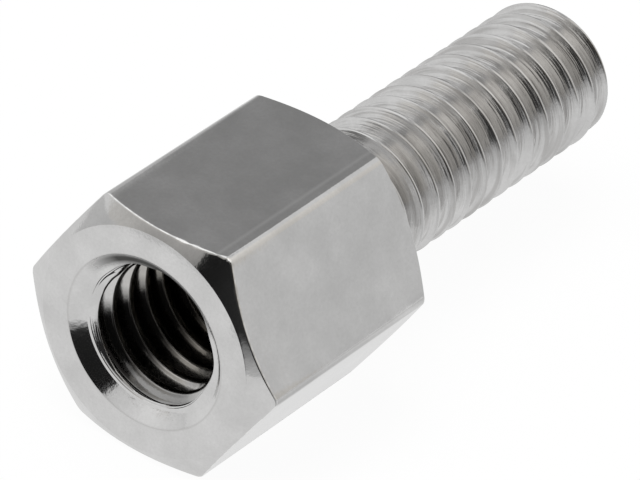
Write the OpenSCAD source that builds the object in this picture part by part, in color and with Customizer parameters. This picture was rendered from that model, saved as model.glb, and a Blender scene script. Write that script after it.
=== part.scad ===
// Hex standoff, female to male, turned from one length of hexagonal bar.
// One end has a tapped blind hole with a countersunk mouth, the other a threaded
// stud. It lies on one flat with its axis along X: the hole opens to -X and the
// stud points to +X. The origin is on the surface it lies on, under its middle.
// Each thread is drawn as rings of the metric thread section, one ring a pitch.

/* [Hex body] */
// Distance across the flats, near the lower limit of a 5 mm bar
hex_af = 4.9; // [4.8:0.05:7]
// Length of the body, which is the spacing that the standoff keeps
hex_len = 5; // [4:0.5:20]
// Radius of the bar's long corners
corner_r = 0.18; // [0.05:0.01:0.3]
// How far the round edge of the hole's end face lies inside the flats
hole_face_inset = 0.14; // [0.02:0.005:0.3]
// The same at the stud's end face
stud_face_inset = 0.085; // [0.02:0.005:0.3]
// Angle between the corner chamfers and the end faces
corner_angle = 30; // [15:1:45]

/* [Threads] */
// Nominal diameter of both threads
thread_d = 3; // [2.5:0.1:3.5]
// Pitch of both threads
pitch = 0.5; // [0.35:0.05:0.6]
// Full angle of the thread section
thread_angle = 60; // [55:5:60]

/* [Stud] */
// Length of the stud from the shoulder to its tip
stud_len = 7.9; // [4:0.1:16]
// How much smaller than nominal the stud is over its crests
stud_under = 0.1; // [0:0.01:0.12]
// Plain length at the shoulder, where the die runs out
runout_len = 0.5; // [0.1:0.1:1]
// Size of the 45 degree chamfer at the stud's tip
tip_chamfer = 0.4; // [0.2:0.05:0.6]

/* [Tapped hole] */
// How much wider than the nominal thread the countersink's mouth is
sink_over = 0.48; // [0.2:0.02:0.9]
// Full angle of the countersink
sink_angle = 112; // [90:2:130]
// Full angle of the drill's point
point_angle = 118; // [100:2:140]
// Metal left between the drill's point and the shoulder
floor_len = 0.35; // [0.2:0.05:1]
// Plain hole left between the thread and the drill's point, at the least
plain_len = 0.4; // [0.2:0.05:1]

/* [Hidden] */
$fn = 96;
// Overlap by which one solid runs into or past another
lap = 0.1;
// Flats of the thread section, as shares of the pitch
stud_crest = pitch / 8;
stud_root = pitch / 6;
hole_crest = pitch / 4;
hole_root = pitch / 8;
// Radii: the drill's follows from the thread, and the roots from their flats
stud_r = (thread_d - stud_under) / 2;
drill_r = (thread_d - pitch) / 2;
sink_r = (thread_d + sink_over) / 2;
stud_root_r = stud_r - groove_depth(stud_crest, stud_root);
hole_root_r = drill_r + groove_depth(hole_crest, hole_root);
// The end faces, and the hexagon's reach at its corners before they are rounded
hole_face_r = hex_af / 2 - hole_face_inset;
stud_face_r = hex_af / 2 - stud_face_inset;
corner_reach = hex_af / 2 / cos(30);
// Places along the axis, from the hole's end face towards the stud
sink_depth = (sink_r - drill_r) / tan(sink_angle / 2);
drill_tip = hex_len - floor_len;
drill_depth = drill_tip - drill_r / tan(point_angle / 2);
stud_tip = hex_len + stud_len;
// Rings of thread that cover the stud, and whole ones that fit in the hole
stud_rings = ceil((stud_len - runout_len) / pitch);
hole_rings = floor((drill_depth - plain_len - sink_depth) / pitch);

// Depth of a groove that leaves these widths of flat at its crests and its root
function groove_depth(crest, root) = (pitch - crest - root) / 2 / tan(thread_angle / 2);

// Points [radius, place] of rings, each from mid crest through its groove to mid crest
function rings(count, start, crest_r, root_r, crest, root) = [
    for (i = [0:count - 1]) let (middle = start + (i + 0.5) * pitch) each [
        [crest_r, middle - (pitch - crest) / 2],
        [root_r, middle - root / 2],
        [root_r, middle + root / 2],
        [crest_r, middle + (pitch - crest) / 2]]];

// The bar's section, a hexagon with round corners and a flat on each side in X
module hex_section() {
    function towards(angle) = [cos(angle), sin(angle)];
    corners = [30:60:330];
    centre_reach = (hex_af / 2 - corner_r) / cos(30);
    polygon([for (corner = corners) for (side = [-30, 30])
        centre_reach * towards(corner) + corner_r * towards(corner + side)]);
    for (corner = corners) translate(centre_reach * towards(corner)) circle(r = corner_r);
}

// The bar between its end faces, with its corners turned off to a cone at each end
module hex_body() {
    chamfer_r = corner_reach + lap;
    function chamfer_len(face_r) = (chamfer_r - face_r) * tan(corner_angle);
    intersection() {
        linear_extrude(hex_len) hex_section();
        rotate_extrude() polygon([
            [0, 0], [hole_face_r, 0], [chamfer_r, chamfer_len(hole_face_r)],
            [chamfer_r, hex_len - chamfer_len(stud_face_r)], [stud_face_r, hex_len],
            [0, hex_len]]);
    }
}

// The threaded stud with its chamfered tip
module stud() {
    intersection() {
        rotate_extrude() polygon(concat(
            [[0, hex_len - lap], [stud_r, hex_len - lap]],
            rings(stud_rings, hex_len + runout_len, stud_r, stud_root_r, stud_crest, stud_root),
            [[stud_r, stud_tip + pitch], [0, stud_tip + pitch]]));
        rotate_extrude() polygon([
            [0, hex_len - lap], [stud_r, hex_len - lap], [stud_r, stud_tip - tip_chamfer],
            [stud_r - tip_chamfer, stud_tip], [0, stud_tip]]);
    }
}

// What is drilled, countersunk and tapped away
module tapped_hole() {
    rotate_extrude() polygon(concat(
        [[0, -lap], [sink_r + lap * tan(sink_angle / 2), -lap], [drill_r, sink_depth]],
        rings(hole_rings, sink_depth, drill_r, hole_root_r, hole_crest, hole_root),
        [[drill_r, drill_depth], [0, drill_tip]]));
}

module standoff() {
    color("gainsboro")
        translate([-stud_tip / 2, 0, hex_af / 2]) rotate([0, 90, 0])
            difference() {
                union() {
                    hex_body();
                    stud();
                }
                tapped_hole();
            }
}

standoff();
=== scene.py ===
import math
import bmesh
import bpy
import numpy as np
from mathutils import Matrix, Vector


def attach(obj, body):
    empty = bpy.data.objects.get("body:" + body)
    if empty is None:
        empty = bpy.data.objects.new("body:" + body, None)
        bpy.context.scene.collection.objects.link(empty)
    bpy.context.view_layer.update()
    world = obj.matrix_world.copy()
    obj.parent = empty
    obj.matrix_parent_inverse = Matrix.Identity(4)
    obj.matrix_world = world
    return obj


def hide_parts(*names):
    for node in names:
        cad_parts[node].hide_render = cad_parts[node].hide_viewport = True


# Hex standoff with a threaded stud and a tapped hole, lying on one flat of its hexagon.
# Lengths here are millimetres; MM turns them into Blender's metres. Along the axis, 0 is the face
# with the hole and the stud points the other way. Angles round the axis start at +Y towards +Z.
MM = 0.001
COS30 = math.cos(math.radians(30))

# Hexagon
HEX_AF = 4.9                # across the flats
HEX_LEN = 5.0
CORNER_R = 0.18             # its long corners
CORNER_AT = (HEX_AF / 2 - CORNER_R) / COS30     # distance from the axis to the middle of their round
CORNER_END = math.atan2(CORNER_R / 2, CORNER_AT + CORNER_R * COS30)     # half the angle it takes up
FACE_R = HEX_AF / 2 - 0.14          # flat end face inside the chamfer, at the hole
BACK_FACE_R = HEX_AF / 2 - 0.085    # the same at the stud
CHAMFER_SLOPE = math.tan(math.radians(30))
FACE_EDGE_R = 0.020         # rounding between end face and chamfer, at the hole
BACK_FACE_EDGE_R = 0.030    # the same at the stud
FRONT_EDGE_R = 0.048        # rounding between chamfer and flats, at the hole
BACK_EDGE_R = 0.015         # the same at the stud
NICKS_AT = math.radians(117)    # the front edge is nicked and rounder near the upper right corner
FRONT_NICKS = 0.12          # how uneven that edge is elsewhere, as a share of its rounding
DEEP_NICKS = 0.62           # and there

# Both threads are right-handed. A phase is the place of a crest at angle 0.
THREAD_D = 3.0
PITCH = 0.5
FLANK_SLOPE = math.tan(math.radians(60))

# Stud
STUD_LEN = 7.9
STUD_TIP = HEX_LEN + STUD_LEN
STUD_R = (THREAD_D - 0.1) / 2
STUD_ROOT_R = 1.143
STUD_CREST = PITCH / 12     # flat of a crest
STUD_FLANK = 0.177          # length of a flank along the axis
STUD_PHASE = HEX_LEN + 0.03 - PITCH * 157 / 360     # a crest is 0.03 past the shoulder at 157 degrees
STUD_ROOT_SOFT = 0.04       # rounding between flank and root
STUD_CREST_SOFT = 0.018     # and between flank and crest
STUD_RING_STEPS = (0.014, 0.026)    # spacing of the mesh rings at a crest and at a root
TIP_CHAMFER = 0.4
TIP_SOFT = 0.03             # rounding between chamfer and thread
TIP_EDGE_R = 0.015          # rounding of the edge of its end face
TIP_EDGE_LEN = 0.02         # and the length kept for it
RUNOUT = 0.55               # the thread fades out over this length at the shoulder
NECK_R = 0.05               # fillet between shoulder and stud
NECK_LEN = 0.08             # and the length kept for it

# Hole
HOLE_R = (THREAD_D - PITCH) / 2     # the drill's, and the thread's over its crests
HOLE_ROOT_R = 1.521
HOLE_CREST = PITCH / 4
HOLE_FLANK = 0.157
HOLE_PHASE = 0.27
HOLE_ROOT_SOFT = 0.03
HOLE_CREST_SOFT = 0.005
HOLE_RING_STEPS = (0.012, 0.022)
LEAD_IN = 0.25              # the grooves reach their full depth over this length
CUT_LEN = 0.42              # the first crest is cut away at the top over this length
CUT_FADE = 0.2              # and comes back over the last part of it
TAP_LEN = 3.5               # the thread fades out here
DRILL_DEPTH = 3.9
DRILL_TIP = HEX_LEN - 0.35

# Countersink: a cone, and a ledge with steps in it between the cone and the thread
SINK_R = 1.742              # the mouth
SINK_SLOPE = math.tan(math.radians(56))
SINK_DEPTH = 0.245          # depth at which the thread starts
LIP_R = 0.020               # rounding of the mouth
LIP_AT = math.radians(140)  # it is LIP_WEAR times rounder there
LIP_WEAR = 8
LEDGE = (1.355, 1.452)      # inside and outside of the ledge
LEDGE_TOP = (1.49, 1.53)    # the same at the top, where the thread's first crest is cut away
LEDGE_OPEN = (1.64, 1.70)   # where the thread's groove runs out into the cone
LEDGE_BROAD = (1.50, 1.625)     # and on the right, where the ledge is broad
TOP_AT = math.radians(72)
OPEN_AT = math.radians(118)
LEDGE_EDGES = [0.003, 0.003, 0.003, 0.006]      # rounding of its steps and of the cone's foot
LEDGE_SOFT = 0.05           # and between its inside and the thread

# Mesh density
FLAT_STEPS = 20             # columns across each flat
CORNER_STEPS = 6            # columns round each corner
ROUND_STEPS = 4             # rings round each rounded edge

# Nickel plate
NICKEL_LIGHT = (0.775, 0.772, 0.768, 1)
NICKEL_DARK = (0.675, 0.672, 0.668, 1)
DARK_GREY = (0.41, 0.40, 0.39, 1)           # darker grey: random grains, the low lines of the stud's tool marks, and a thin ring at the countersink's mouth
HOLE_SHADE_AND_TINT = (0.36, 0.335, 0.29, 1)      # painted shade that deepens down the hole, tinted brown by its thin plate
BLACK_SHADE = (0.035, 0.034, 0.032, 1)          # painted shade, near black, in the thread and on the ledge round it
CONE_SHADE = (0.050, 0.049, 0.047, 1)         # painted shade, dull and dark, on the top of the countersink
CONE_SHADE_GLOSS = 0.12                       # it is matt; this has no effect where the plate is bare
HIGHLIGHT_TONE = (0.93, 0.928, 0.92, 1)      # painted highlight on the front edges and along the crease on the top flat
CREASE_Y = -1.14                        # faint bright line along the top flat, beside its corner: a crease with a painted highlight
HOLE_ZONE_R = 1.8                       # the plate nearer the axis than this is the hole's
BLACK_SHADE_AT = 318.0                          # middle of the painted shade down the thread, in degrees

# Studio
FLOOR_TONE = 0.78           # of the white floor in the metal
STAND_X = -12.5             # the dark stand beyond the end with the hole
BOUNCE_X = STAND_X + 0.1    # the lights on it, and the end of the floor's cards
CEILING_Z = 90

# Camera, from the lines of the hexagon and the rings of the thread
CAM_AT = (-90.4075, -56.2595, 76.8039)
CAM_AZ, CAM_EL, CAM_ROLL = -57.794, 35.311, -8.430
CAM_LENS = 393.75


# ---------------------------------------------------------------- sections

def column_angles():
    """Angles of the mesh columns: close together round the six corners, even across the flats."""
    turn = np.radians(np.linspace(-30, 30, CORNER_STEPS + 1))
    corner = np.arctan2(CORNER_R * np.sin(turn), CORNER_AT + CORNER_R * np.cos(turn))
    flat = np.linspace(CORNER_END, math.radians(60) - CORNER_END, FLAT_STEPS + 1)[1:-1]
    sector = np.concatenate([corner, flat])
    return np.concatenate([sector + math.radians(60 * k) for k in range(6)])


def hex_radius(theta):
    """Distance from the axis to the outline of the hexagon with rounded corners."""
    off = (theta + math.radians(30)) % math.radians(60) - math.radians(30)
    flat = HEX_AF / 2 / np.cos(math.radians(30) - np.abs(off))
    under = np.maximum(CORNER_R**2 - (CORNER_AT * np.sin(off)) ** 2, 0)
    arc = CORNER_AT * np.cos(off) + np.sqrt(under)
    return np.where(np.abs(off) <= CORNER_END + 1e-9, arc, flat)


def soft_min(a, b, k):
    """The smaller of a and b, with the corner between them rounded over k."""
    h = np.maximum(k - np.abs(a - b), 0) / k
    return np.minimum(a, b) - h * h * k / 4


def soft_max(a, b, k):
    return -soft_min(-a, -b, k)


def ease(share):
    """From 0 to 1 as share does, with a soft start and end."""
    return share * share * (3 - 2 * share)


def between(a, b, share):
    """a where share is 0, and b where it is 1."""
    return a + (b - a) * share


def side_share(theta, middle, start, full):
    """1 near the angle middle and 0 away from it; start and full are cosines of the angle to it."""
    return ease(np.clip((np.cos(theta - middle) - start) / (full - start), 0, 1))


def span(theta, start, full, fade, until):
    """1 between the angles full and fade, in degrees, and 0 before start and after until."""
    turn = np.degrees(theta) % 360
    rise = np.clip((turn - start) / (full - start), 0, 1)
    fall = np.clip((until - turn) / (until - fade), 0, 1)
    return ease(rise * fall)


def from_crest(along, theta, phase):
    """Distance along the axis to the nearest crest of a right-hand helix."""
    s = (along - phase - PITCH * theta / math.tau) / PITCH
    return np.abs(s - np.round(s)) * PITCH


def stud_radius(along, theta):
    """Stud with its helical thread, the run-out at the shoulder and the tip chamfer."""
    d = from_crest(along, theta, STUD_PHASE)
    root = between(STUD_R, STUD_ROOT_R, ease(np.clip((along - HEX_LEN) / RUNOUT, 0, 1)))
    flank = STUD_R - (d - STUD_CREST / 2) * FLANK_SLOPE
    groove = soft_max(flank, root, STUD_ROOT_SOFT)
    thread = soft_min(groove, np.full_like(along, STUD_R), STUD_CREST_SOFT)
    chamfer = STUD_R - TIP_CHAMFER + (STUD_TIP - along)
    return soft_min(thread, chamfer, TIP_SOFT)


def groove_opening(theta):
    """1 where the thread's groove runs out into the countersink, 0 round the rest of the ledge."""
    return side_share(theta, OPEN_AT, 0.80, 0.97)


def cut_start(theta):
    """1 at the top, where the countersink has cut away the thread's first crest."""
    return span(theta, 38, 74, 95, 115)


def broad_side(theta):
    """1 on the right, where the ledge is broad."""
    return span(theta, 130, 157, 190, 252)


def ledge_inside(theta):
    """Radius of the ledge's inner edge, where the thread starts."""
    edge = between(LEDGE[0], LEDGE_TOP[0], cut_start(theta))
    edge = between(edge, LEDGE_OPEN[0], groove_opening(theta))
    return between(edge, LEDGE_BROAD[0], span(theta, 130, 157, 165, 208))


def ledge_outside(theta):
    """Radius of the ledge's outer edge, at the foot of the cone."""
    edge = between(LEDGE[1], LEDGE_TOP[1], side_share(theta, TOP_AT, 0.60, 0.93))
    edge = between(edge, LEDGE_OPEN[1], groove_opening(theta))
    return between(edge, LEDGE_BROAD[1], broad_side(theta))


def sink_profile(theta):
    """Places and radii from the thread's start, over the ledge and up the cone to its mouth."""
    inside, outside = ledge_inside(theta), ledge_outside(theta)
    foot = (SINK_R - outside) / SINK_SLOPE
    opening, broad = groove_opening(theta), broad_side(theta)
    wide = (1 - 0.9 * opening) * (1 - 0.8 * cut_start(theta))
    wide = between(wide, 0.6, broad)        # how wide the steps are, as a share of the usual
    return [(SINK_DEPTH, inside), (foot + 0.032, inside + 0.012 * wide),
            (foot + 0.024, inside + 0.035 * wide),
            (foot + 0.008 + 0.020 * opening, inside + 0.045 * wide),
            (foot, outside), (0, SINK_R)]


def hole_radius(along, theta):
    """Tapped hole: drilled wall with a helical thread, from the countersink down to TAP_LEN."""
    d = from_crest(along, theta, HOLE_PHASE)
    deep = along - SINK_DEPTH
    inside = ledge_inside(theta)
    root = between(inside, HOLE_ROOT_R, np.clip(deep / LEAD_IN, 0, 1))
    root = between(HOLE_R, root, np.clip((TAP_LEN - along) / PITCH + 0.5, 0, 1))
    flank = HOLE_R + (d - HOLE_CREST / 2) * FLANK_SLOPE
    cut = cut_start(theta) * np.clip((CUT_LEN - deep) / CUT_FADE, 0, 1)
    crest = between(HOLE_R, LEDGE_TOP[0], cut)
    thread = soft_max(soft_min(flank, root, HOLE_ROOT_SOFT), crest, HOLE_CREST_SOFT)
    return soft_max(thread, inside - deep * SINK_SLOPE, LEDGE_SOFT)


# ---------------------------------------------------------------- mesh

def pitch_steps(crest, flank, crest_step, root_step):
    """Places of the rings within one pitch, closest where the thread's outline bends."""
    c = np.array([0.35, 0.75, 1.15, 1.6]) * (crest / 2 + crest_step)
    r = crest / 2 + flank + np.array([-1.3, -0.5, 0.3, 1.1]) * root_step
    side = np.concatenate([c, [(c[-1] + r[0]) / 2], r]) / PITCH
    return np.concatenate([[0], side, [0.5], 1 - side[::-1]])


def thread_rings(radius, start, end, phase, steps, theta):
    """Rings that follow the helix, so that crests and roots lie on mesh lines.
    Each ring is held between start and end, where it closes flat."""
    first = math.floor((start - phase) / PITCH) - 1
    turns = math.ceil((end - start) / PITCH) + 4
    rings = []
    for turn in range(first, first + turns):
        for step in steps:
            along = np.clip(phase + PITCH * (turn + step + theta / math.tau), start, end)
            rings.append(np.stack([along, radius(along, theta)], -1))
    return rings


def rounded(rings, radii):
    """Rings with more of them where the outline turns a corner, each corner rounded by its radius.
    A ring is an array of (along, radius), one for each column. The first and last stay as they are."""
    result = [rings[0]]
    for before, p, after, r in zip(rings, rings[1:], rings[2:], radii):
        u, w = before - p, after - p
        u /= np.linalg.norm(u, axis=1, keepdims=True)
        w /= np.linalg.norm(w, axis=1, keepdims=True)
        half = np.arccos(np.clip((u * w).sum(1), -1, 1)) / 2
        reach = (r / np.tan(half))[:, None]
        for s in np.linspace(0, 1, ROUND_STEPS + 1):
            result.append(p + u * reach * (1 - s) ** 2 + w * reach * s**2)
    return result + [rings[-1]]


def band(bm, rings, theta, shift=0):
    """Quads between the rings.
    At the seam a helical band steps on by one pitch, which is shift rings."""
    last = len(rings) - 1
    verts = []
    for ring in rings:
        x = ring[:, 0] - STUD_TIP / 2
        y, z = ring[:, 1] * np.cos(theta), ring[:, 1] * np.sin(theta)
        verts.append([bm.verts.new(Vector((a, b, c + HEX_AF / 2)) * MM) for a, b, c in zip(x, y, z)])
    for i in range(last):
        for j in range(len(theta)):
            if j + 1 < len(theta):
                quad = (verts[i][j], verts[i][j + 1], verts[i + 1][j + 1], verts[i + 1][j])
            else:
                a, b = min(i + shift, last), min(i + 1 + shift, last)
                quad = (verts[i][j], verts[a][0], verts[b][0], verts[i + 1][j])
            if len(set(quad)) > 2:
                bm.faces.new(list(dict.fromkeys(quad)))


def standoff_mesh():
    """One closed mesh. Its bands are the hole, the body, the stud, its tip and the drill's point."""
    theta = column_angles()
    ones = np.ones_like(theta)
    rim = hex_radius(theta)

    def ring(along, radius):
        return np.stack([along * ones, radius * ones], -1)

    worn = side_share(theta, NICKS_AT, 0.90, 0.98)
    nicks = np.random.default_rng(3).uniform(-1, 1, len(theta))
    front_edge = FRONT_EDGE_R * (1 + 0.8 * worn) * (1 + between(FRONT_NICKS, DEEP_NICKS, worn) * nicks)
    lip = LIP_R * between(1, LIP_WEAR, side_share(theta, LIP_AT, 0.20, 0.70))
    neck = HEX_LEN + NECK_LEN
    body = rounded(
        [ring(*p) for p in sink_profile(theta)] +
        [ring(0, FACE_R), ring((rim - FACE_R) * CHAMFER_SLOPE, rim),
         ring(HEX_LEN - (rim - BACK_FACE_R) * CHAMFER_SLOPE, rim), ring(HEX_LEN, BACK_FACE_R),
         ring(HEX_LEN, STUD_R), ring(neck, STUD_R)],
        LEDGE_EDGES + [lip, FACE_EDGE_R, front_edge, BACK_EDGE_R, BACK_FACE_EDGE_R, NECK_R])
    body[-1] = ring(neck, stud_radius(neck * ones, theta))

    hole_steps = pitch_steps(HOLE_CREST, HOLE_FLANK, *HOLE_RING_STEPS)
    stud_steps = pitch_steps(STUD_CREST, STUD_FLANK, *STUD_RING_STEPS)
    hole = thread_rings(hole_radius, SINK_DEPTH, DRILL_DEPTH, HOLE_PHASE, hole_steps, theta)
    stud = thread_rings(stud_radius, neck, STUD_TIP - TIP_EDGE_LEN, STUD_PHASE, stud_steps, theta)
    tip = rounded([stud[-1], ring(STUD_TIP, STUD_R - TIP_CHAMFER), ring(STUD_TIP, 0)], [TIP_EDGE_R])
    point = [hole[-1], ring(DRILL_DEPTH, HOLE_R), ring(DRILL_TIP, 0)]

    bm = bmesh.new()
    band(bm, hole, theta, len(hole_steps))
    band(bm, body, theta)
    band(bm, stud, theta, len(stud_steps))
    band(bm, tip, theta)
    band(bm, point, theta)
    bmesh.ops.remove_doubles(bm, verts=bm.verts, dist=2e-4 * MM)
    bmesh.ops.dissolve_degenerate(bm, edges=bm.edges, dist=1e-4 * MM)
    bmesh.ops.recalc_face_normals(bm, faces=bm.faces)
    mesh = bpy.data.meshes.new("standoff_metal")
    bm.to_mesh(mesh)
    bm.free()
    mesh.polygons.foreach_set("use_smooth", [True] * len(mesh.polygons))
    return mesh


# ---------------------------------------------------------------- nodes

def node(tree, kind, **values):
    """A new node, with its settings and the values of its inputs by name."""
    n = tree.nodes.new(kind)
    for key, value in values.items():
        if key in n.inputs:
            n.inputs[key].default_value = value
        else:
            setattr(n, key, value)
    return n


def calc(tree, operation, a, b=None):
    """One sum in a material: a and b are numbers or sockets."""
    n = node(tree, "ShaderNodeMath", operation=operation)
    for socket, value in zip(n.inputs, (a, b)):
        if isinstance(value, (int, float)):
            socket.default_value = value
        elif value is not None:
            tree.links.new(value, socket)
    return n.outputs[0]


def times(tree, a, *others):
    """The product of numbers and sockets."""
    for b in others:
        a = calc(tree, "MULTIPLY", a, b)
    return a


def ramp(tree, value, from_min, from_max, to_min=0.0, to_max=1.0):
    """From to_min to to_max as value goes from from_min to from_max, and level beyond them."""
    n = node(tree, "ShaderNodeMapRange")
    for socket, v in zip(n.inputs[1:5], (from_min, from_max, to_min, to_max)):
        socket.default_value = v
    tree.links.new(value, n.inputs["Value"])
    return n.outputs["Result"]


def arc_share(tree, turn, start, full, fade, until):
    """1 between the angles full and fade, in degrees, and 0 before start and after until."""
    return times(tree, ramp(tree, turn, start, full), ramp(tree, turn, until, fade))


def noise(tree, vector, scale, detail=3.0, roughness=0.55):
    """Soft noise around 0.5, scale times as fine as the vector's unit."""
    n = node(tree, "ShaderNodeTexNoise", Scale=scale, Detail=detail, Roughness=roughness)
    tree.links.new(vector, n.inputs["Vector"])
    return n.outputs["Fac"]


def blend_colours(tree, factor, a, b):
    """a where factor is 0, and b where it is 1; a and b are colours or sockets."""
    n = node(tree, "ShaderNodeMix", data_type="RGBA")
    for socket, value in ((n.inputs["Factor"], factor), (n.inputs["A"], a), (n.inputs["B"], b)):
        if isinstance(value, tuple):
            socket.default_value = value
        else:
            tree.links.new(value, socket)
    return n.outputs["Result"]


# ---------------------------------------------------------------- nickel plate
# In the plate's nodes, along, z and out are in millimetres: the place along the axis, the height
# above it and the distance from it. turn is the angle round it in degrees, and around is the same
# in radians, counted back from the top.

def turned_lines(tree, x, out, around, scale, detail):
    """Fine tool marks that run round the part and follow the thread."""
    helix = calc(tree, "ADD", x, times(tree, around, PITCH / math.tau))
    place = node(tree, "ShaderNodeCombineXYZ")
    tree.links.new(times(tree, helix, scale), place.inputs[0])
    tree.links.new(times(tree, out, scale), place.inputs[1])
    tree.links.new(times(tree, around, 0.8), place.inputs[2])
    return noise(tree, place.outputs[0], 1.0, detail, 0.5)


def thread_shade(tree, along, z, out, turn):
    """Painted shade in the thread: all down its lower left side, and low in the first turns."""
    off = times(tree, calc(tree, "SUBTRACT", BLACK_SHADE_AT, turn), math.radians(1))
    side = ramp(tree, calc(tree, "COSINE", off), 0.76, 0.92, 0, 0.85)
    low = times(tree, ramp(tree, along, 0.70, 0.90, 0.5, 0),
                ramp(tree, calc(tree, "DIVIDE", z, out), -0.5, -0.9))
    return times(tree, calc(tree, "MAXIMUM", side, low), ramp(tree, along, 0.26, 0.35))


def ledge_shade(tree, along, out, turn):
    """Painted shade on the top of the ledge, more and more towards the right."""
    return times(tree, arc_share(tree, turn, 45, 90, 130, 150), 0.97,
                 ramp(tree, out, 1.52, 1.57, 1, 0), ramp(tree, along, 0.35, 0.30))


def cone_shade_arc(tree, out, turn):
    """An arc of painted shade, dull and matt, round the top of the countersink."""
    return times(tree, arc_share(tree, turn, 28, 58, 128, 152),
                 ramp(tree, out, 1.47, 1.57, 0, 0.97), ramp(tree, out, 1.66, 1.74, 1, 0.5))


def edge_highlight(tree, place, along, out):
    """Painted highlight: 1 on the rounded edges where the chamfer at the hole meets the flats, and less in
    dull spots.
    """
    above = calc(tree, "SUBTRACT", along, times(tree, calc(tree, "SUBTRACT", out, FACE_R), CHAMFER_SLOPE))
    bead = times(tree, ramp(tree, above, 0.002, 0.008), ramp(tree, above, 0.028, 0.045, 1, 0))
    spots = ramp(tree, noise(tree, place, 7.0, 1.0), 0.40, 0.52, 0.2, 0.95)
    return times(tree, bead, spots, calc(tree, "GREATER_THAN", out, FACE_R + 0.05))


def nickel():
    """Bright nickel plate: soft mottling, tool marks on the turned faces, rougher inside the hole, with
    painted shade in the hole and round the top of the countersink, and painted highlights on the front
    edges and along the top flat.
    """
    mat = bpy.data.materials.new("nickel_plate")
    mat.use_nodes = True
    t = mat.node_tree
    shader = t.nodes["Principled BSDF"]
    scaled = node(t, "ShaderNodeVectorMath", operation="SCALE", Scale=1 / MM)
    t.links.new(node(t, "ShaderNodeTexCoord").outputs["Object"], scaled.inputs[0])
    place = scaled.outputs["Vector"]
    split = node(t, "ShaderNodeSeparateXYZ")
    t.links.new(place, split.inputs[0])
    x, y = split.outputs[0], split.outputs[1]
    z = calc(t, "SUBTRACT", split.outputs[2], HEX_AF / 2)
    along = calc(t, "ADD", x, STUD_TIP / 2)
    out = calc(t, "SQRT", calc(t, "ADD", times(t, y, y), times(t, z, z)))
    around = calc(t, "ARCTAN2", y, z)
    turn = calc(t, "SUBTRACT", 90.0, times(t, around, math.degrees(1)))

    on_stud = calc(t, "GREATER_THAN", along, HEX_LEN + 0.01)
    in_hole = times(t, calc(t, "LESS_THAN", out, HOLE_ZONE_R), calc(t, "LESS_THAN", along, HEX_LEN - 0.1))
    near_face = calc(t, "LESS_THAN", along, 0.16)
    on_cone = times(t, near_face, calc(t, "LESS_THAN", out, SINK_R + 0.005))
    on_top = calc(t, "GREATER_THAN", z, HEX_AF / 2 - 0.02)

    mottle = ramp(t, noise(t, place, 1.1, 4.0), 0.33, 0.67)
    grains = ramp(t, noise(t, place, 16.0, 2.0), 0.3, 0.7)
    lines = turned_lines(t, x, out, around, 11.0, 3.0)
    fine = turned_lines(t, x, out, around, 27.0, 2.0)
    grooves = ramp(t, lines, 0.53, 0.38, 0.0, 0.5)
    from_mouth = calc(t, "ABSOLUTE", calc(t, "SUBTRACT", out, SINK_R))
    # painted shade, near black, in the thread and on the ledge beside it
    shade_in_thread = calc(t, "MAXIMUM", thread_shade(t, along, z, out, turn), ledge_shade(t, along, out, turn))
    # painted shade, dull and matt, round the top of the countersink
    cone_shade_share = times(t, cone_shade_arc(t, out, turn), on_cone)
    from_crease = calc(t, "ABSOLUTE", calc(t, "SUBTRACT", y, CREASE_Y))
    # painted highlight along the crease on the top flat and on the front edges
    painted_highlight = calc(t, "MAXIMUM", times(t, on_top, ramp(t, from_crease, 0, 0.06, 0.55, 0)),
                  edge_highlight(t, place, along, out))

    plate = blend_colours(t, mottle, NICKEL_DARK, NICKEL_LIGHT)
    for share, colour in (
            (times(t, grains, 0.12), DARK_GREY),
            # darker along the low lines of the tool marks on the stud
            (times(t, on_stud, grooves), DARK_GREY),
            # darker in a thin ring at the countersink's mouth
            (times(t, near_face, ramp(t, from_mouth, 0.0, 0.03, 0.3, 0)), DARK_GREY),
            # painted shade, darker deeper down the hole, tinted brown by thin plate
            (times(t, in_hole, ramp(t, along, 0.35, 2.85)), HOLE_SHADE_AND_TINT),
            # painted shade, near black, in the thread and on the ledge
            (times(t, in_hole, shade_in_thread), BLACK_SHADE),
            # painted shade round the top of the countersink
            (cone_shade_share, CONE_SHADE),
            # painted highlight on the front edges and along the top flat
            (painted_highlight, HIGHLIGHT_TONE)):
        plate = blend_colours(t, share, plate, colour)
    t.links.new(plate, shader.inputs["Base Color"])
    # the painted shade on the countersink is matt, not metal
    t.links.new(calc(t, "SUBTRACT", 1.0, cone_shade_share), shader.inputs["Metallic"])
    shader.inputs["Specular IOR Level"].default_value = CONE_SHADE_GLOSS

    rough = ramp(t, mottle, 0, 1, 0.07, 0.11)
    for more in (times(t, in_hole, ramp(t, along, 0.25, 0.45, 0, 0.05)),
                 times(t, on_stud, 0.07), times(t, cone_shade_share, 0.6)):
        rough = calc(t, "ADD", rough, more)
    t.links.new(rough, shader.inputs["Roughness"])

    tool_marks = node(t, "ShaderNodeBump", Distance=0.012 * MM)
    t.links.new(on_stud, tool_marks.inputs["Strength"])
    t.links.new(calc(t, "ADD", lines, times(t, fine, 0.35)), tool_marks.inputs["Height"])
    grain = node(t, "ShaderNodeBump", Strength=0.10, Distance=0.02 * MM)
    t.links.new(noise(t, place, 9.0), grain.inputs["Height"])
    t.links.new(tool_marks.outputs["Normal"], grain.inputs["Normal"])
    crease = node(t, "ShaderNodeBump", Strength=0.2, Distance=0.006 * MM)
    t.links.new(times(t, on_top, ramp(t, from_crease, 0, 0.035, 1, 0)), crease.inputs["Height"])
    t.links.new(grain.outputs["Normal"], crease.inputs["Normal"])
    t.links.new(crease.outputs["Normal"], shader.inputs["Normal"])
    return mat


# ---------------------------------------------------------------- studio

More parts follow.
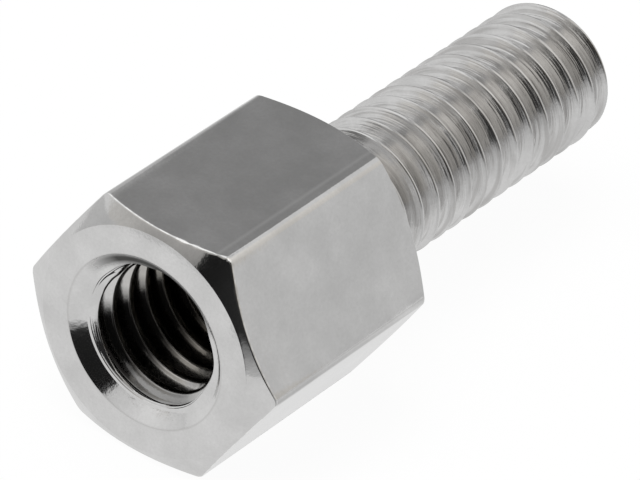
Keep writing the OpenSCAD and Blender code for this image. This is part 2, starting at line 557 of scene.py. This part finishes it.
def pale_floor():
    """White studio paper with a soft shadow, plain white to the camera and in reflections."""
    mat = bpy.data.materials.new("white_paper")
    mat.use_nodes = True
    t = mat.node_tree
    t.nodes.remove(t.nodes["Principled BSDF"])
    path = node(t, "ShaderNodeLightPath")
    grain = node(t, "ShaderNodeTexNoise", Scale=2500.0, Detail=2.0)
    paper = node(t, "ShaderNodeBsdfDiffuse")
    tone = blend_colours(t, grain.outputs["Fac"], (0.86, 0.86, 0.86, 1), (0.90, 0.90, 0.90, 1))
    t.links.new(tone, paper.inputs["Color"])
    glow = node(t, "ShaderNodeEmission", Color=(1, 1, 1, 1))
    t.links.new(ramp(t, path.outputs["Is Camera Ray"], 0, 1, FLOOR_TONE, 1.0), glow.inputs["Strength"])
    seen = calc(t, "MAXIMUM", path.outputs["Is Camera Ray"], path.outputs["Is Glossy Ray"])
    mix = node(t, "ShaderNodeMixShader")
    t.links.new(times(t, seen, 0.95), mix.inputs[0])
    t.links.new(paper.outputs[0], mix.inputs[1])
    t.links.new(glow.outputs[0], mix.inputs[2])
    t.links.new(mix.outputs[0], t.nodes["Material Output"].inputs["Surface"])
    return mat


def floor():
    """The paper that the part lies on, a hair lower, so that the two never share a plane."""
    mesh = bpy.data.meshes.new("floor")
    half = 600 * MM
    mesh.from_pydata([(-half, -half, 0), (half, -half, 0), (half, half, 0), (-half, half, 0)], [],
                     [(0, 1, 2, 3)])
    mesh.materials.append(pale_floor())
    obj = bpy.data.objects.new("floor", mesh)
    obj.location.z = -0.01 * MM
    bpy.context.scene.collection.objects.link(obj)


def light():
    """A plain world, white to the camera and in reflections, and one softbox overhead."""
    world = bpy.data.worlds.new("studio")
    bpy.context.scene.world = world
    world.use_nodes = True
    t = world.node_tree
    back = t.nodes["Background"]
    back.inputs["Color"].default_value = (1, 1, 1, 1)
    path = node(t, "ShaderNodeLightPath")
    seen = calc(t, "MAXIMUM", path.outputs["Is Camera Ray"], path.outputs["Is Glossy Ray"])
    t.links.new(ramp(t, seen, 0, 1, 0.55, 1.0), back.inputs["Strength"])

    lamp = bpy.data.lights.new("softbox", "AREA")
    lamp.shape = "RECTANGLE"
    lamp.size = lamp.size_y = 250 * MM
    lamp.energy = 0.82
    obj = bpy.data.objects.new("softbox", lamp)
    obj.location = Vector((-50, 50, 320)) * MM
    obj.rotation_mode = "QUATERNION"
    obj.rotation_quaternion = Vector(obj.location).to_track_quat("Z", "Y")
    obj.visible_glossy = False
    bpy.context.scene.collection.objects.link(obj)


def card(name, corners, *tones, warm=0.0):
    """A flat card given by its corners in mm, seen only in the part's reflections.
    It has one tone, or one for each corner, which it blends; warm turns them towards brown."""
    mesh = bpy.data.meshes.new(name)
    mesh.from_pydata([Vector(c) * MM for c in corners], [], [(0, 1, 2, 3)])
    shade = mesh.color_attributes.new("tone", "FLOAT_COLOR", "POINT")
    for point, tone in zip(shade.data, tones * (4 // len(tones))):
        point.color = (tone * (1 + warm), tone, tone * (1 - 1.5 * warm), 1)
    mat = bpy.data.materials.new(name)
    mat.use_nodes = True
    t = mat.node_tree
    t.nodes.remove(t.nodes["Principled BSDF"])
    glow = node(t, "ShaderNodeEmission", Strength=1.0)
    t.links.new(node(t, "ShaderNodeVertexColor", layer_name="tone").outputs["Color"], glow.inputs["Color"])
    t.links.new(glow.outputs[0], t.nodes["Material Output"].inputs["Surface"])
    mesh.materials.append(mat)
    obj = bpy.data.objects.new(name, mesh)
    obj.visible_camera = False
    obj.visible_diffuse = False
    obj.visible_shadow = False
    bpy.context.scene.collection.objects.link(obj)


def upright(name, start, end, heights, *tones, warm=0.0):
    """A card that stands over the line from start to end, between two heights."""
    low, high = heights
    card(name, [(*start, low), (*end, low), (*end, high), (*start, high)], *tones, warm=warm)


def level(name, low, high, z, *tones, warm=0.0):
    """A level card at height z, from its lowest x and y to its highest."""
    card(name, [(*low, z), (high[0], low[1], z), (*high, z), (low[0], high[1], z)], *tones, warm=warm)


def stand_cards():
    """A dark stand beyond the end with the hole, with light below and beside it."""
    def flag(name, left, right, heights, *tones, warm=0.0):
        upright(name, (STAND_X, left), (STAND_X, right), heights, *tones, warm=warm)

    flag("flag_low", -40, 0.9, (0, 5.4), 0.10, 0.01, 0.01, 0.10)
    flag("flag_right", 0.9, 7.5, (0, 5.4), 0.10, 0.50, 0.54, 0.14, warm=0.04)
    flag("flag_end", 7.5, 16, (0, 5.4), 0.50, 0.62, 0.62, 0.55)
    flag("flag_mid", -40, -0.2, (5.4, 8.6), 0.12, 0.01, 0.01, 0.12)
    flag("flag_step", -0.2, 9.5, (5.4, 8.6), 0.28, 0.62, 0.62, 0.40, warm=0.02)
    flag("flag_high", -40, -7, (8.6, 20), 0.10, 0.04, 0.06, 0.12, warm=0.10)
    flag("flag_fade", -7, 9, (8.6, 20), 0.05, 0.80, 0.68, 0.08, warm=0.03)
    x = BOUNCE_X
    card("bounce_low", [(x, 0.9, 0), (x, 13, 0), (x, 4.2, 3.8), (x, 0.9, 3.7)], 0.60, 0.70, 0.90, 0.66)
    card("bounce_left", [(x, -6.9, 0), (x, -4.6, 0), (x, -4.2, 3.2), (x, -6.5, 3.2)],
         0.67, 0.60, 0.02, 0.02)


def floor_cards():
    """Light and shade on the floor in front of the part, which its lower faces mirror."""
    z = 0.04
    level("bounce_side", (-6.2, -1.95), (0.6, -1.25), z, 0.79)
    card("bounce_corner", [(-7.6, -3.9, z), (-4, -3.7, z), (-1.2, -1.95, z), (-5, -1.95, z)], 0.78)
    level("flag_foot", (BOUNCE_X, -3.9), (-10.8, 0.9), z, 0.02, 0.78, 0.78, 0.02)
    z = 0.02
    card("floor_shade", [(BOUNCE_X, -20, z), (0.6, -20, z), (0.6, -2.0, z), (BOUNCE_X, -6.6, z)],
         0.25, 0.56, 0.72, 0.25)
    level("floor_side", (0.6, -20), (16, -0.8), z, 0.67, 0.58, 0.66, 0.78)
    level("floor_far", (BOUNCE_X, -60), (16, -20), z, 0.20, 0.58, 0.55, 0.12)
    level("floor_tip", (9.5, 0), (14, 5), 0.03, 0.22)


def room_cards():
    """Walls, lamps and ceiling of the studio; the walls go round from behind the camera."""
    upright("wall_front", (-60, -60), (44, -60), (0, 90), 0.17, 0.58, 0.78, 0.70, warm=0.03)
    upright("wall_right", (44, -60), (64, -20), (0, 20), 0.62, 0.57, 0.626, 0.664)
    upright("wall_right_high", (44, -60), (64, -20), (20, 90), 0.664, 0.626, 0.82, 0.82, warm=0.03)
    upright("wall_end", (64, -20), (54, 24), (0, 90), 0.60, 0.60, 0.80, 0.80)
    upright("flag_back", (54, 24), (46, 38), (10, 70), 0.29)
    upright("flag_beside", (45.9, 37.8), (40.8, 42.8), (10, 70), 0.30, 0.44, 0.44, 0.30)
    upright("wall_back", (46, 38), (20, 64), (0, 89), 0.52, 0.68, 0.60, 0.54)
    upright("wall_left", (20, 64), (-70, 54), (0, 89), 0.66, 0.80, 0.93, 0.96)
    upright("wall_far_left", (-70, 54), (-60, -60), (0, 90), 0.88, 0.60, 0.46, 0.50)
    level("lamp", (-10, 1.5), (-3.5, 8.5), 12, 0.98)
    level("lamp_corner", (-7.6, -3.0), (-6.4, -1.8), 7, 1.10)
    level("ceiling_front", (-70, -60), (70, 0), CEILING_Z, 0.76, 0.88, 0.88, 0.76, warm=0.03)
    level("ceiling_gap", (-70, 0), (70, 26), CEILING_Z, 0.52, 0.53, 0.50, 0.52)
    level("ceiling_back", (-70, 26), (70, 64), CEILING_Z, 0.92, 0.86, 0.74, 0.90)


def camera():
    """Looks at the part from CAM_AT, with azimuth, elevation and roll in degrees."""
    data = bpy.data.cameras.new("camera")
    data.lens, data.sensor_width = CAM_LENS, 36
    data.clip_start, data.clip_end = 10 * MM, 10000 * MM
    obj = bpy.data.objects.new("camera", data)
    a, e, roll = (math.radians(angle) for angle in (CAM_AZ, CAM_EL, CAM_ROLL))
    back = Vector((math.sin(a) * math.cos(e), -math.cos(a) * math.cos(e), math.sin(e)))
    side = Vector((0, 0, 1)).cross(back).normalized()
    up = back.cross(side) * math.cos(roll) + side * math.sin(roll)
    turn = Matrix((up.cross(back), up, back)).transposed().to_4x4()
    obj.matrix_world = Matrix.Translation(Vector(CAM_AT) * MM) @ turn
    bpy.context.scene.collection.objects.link(obj)
    bpy.context.scene.camera = obj


# ---------------------------------------------------------------- scene

def standoff():
    obj = bpy.data.objects.new("standoff_metal", standoff_mesh())
    bpy.context.scene.collection.objects.link(obj)
    obj.data.materials.append(nickel())
    normals = obj.modifiers.new("weighted", "WEIGHTED_NORMAL")
    normals.mode = "FACE_AREA"
    normals.weight = 100
    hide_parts("standoff")
    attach(obj, "root")


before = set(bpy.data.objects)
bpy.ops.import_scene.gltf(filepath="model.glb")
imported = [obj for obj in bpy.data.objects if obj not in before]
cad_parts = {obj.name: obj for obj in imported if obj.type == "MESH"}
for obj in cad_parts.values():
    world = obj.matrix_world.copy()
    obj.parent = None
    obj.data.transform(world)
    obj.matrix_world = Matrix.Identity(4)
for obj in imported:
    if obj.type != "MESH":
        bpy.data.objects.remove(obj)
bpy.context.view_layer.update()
bpy.context.scene.view_settings.view_transform = "Standard"
standoff()
light()
floor()
stand_cards()
floor_cards()
room_cards()
camera()
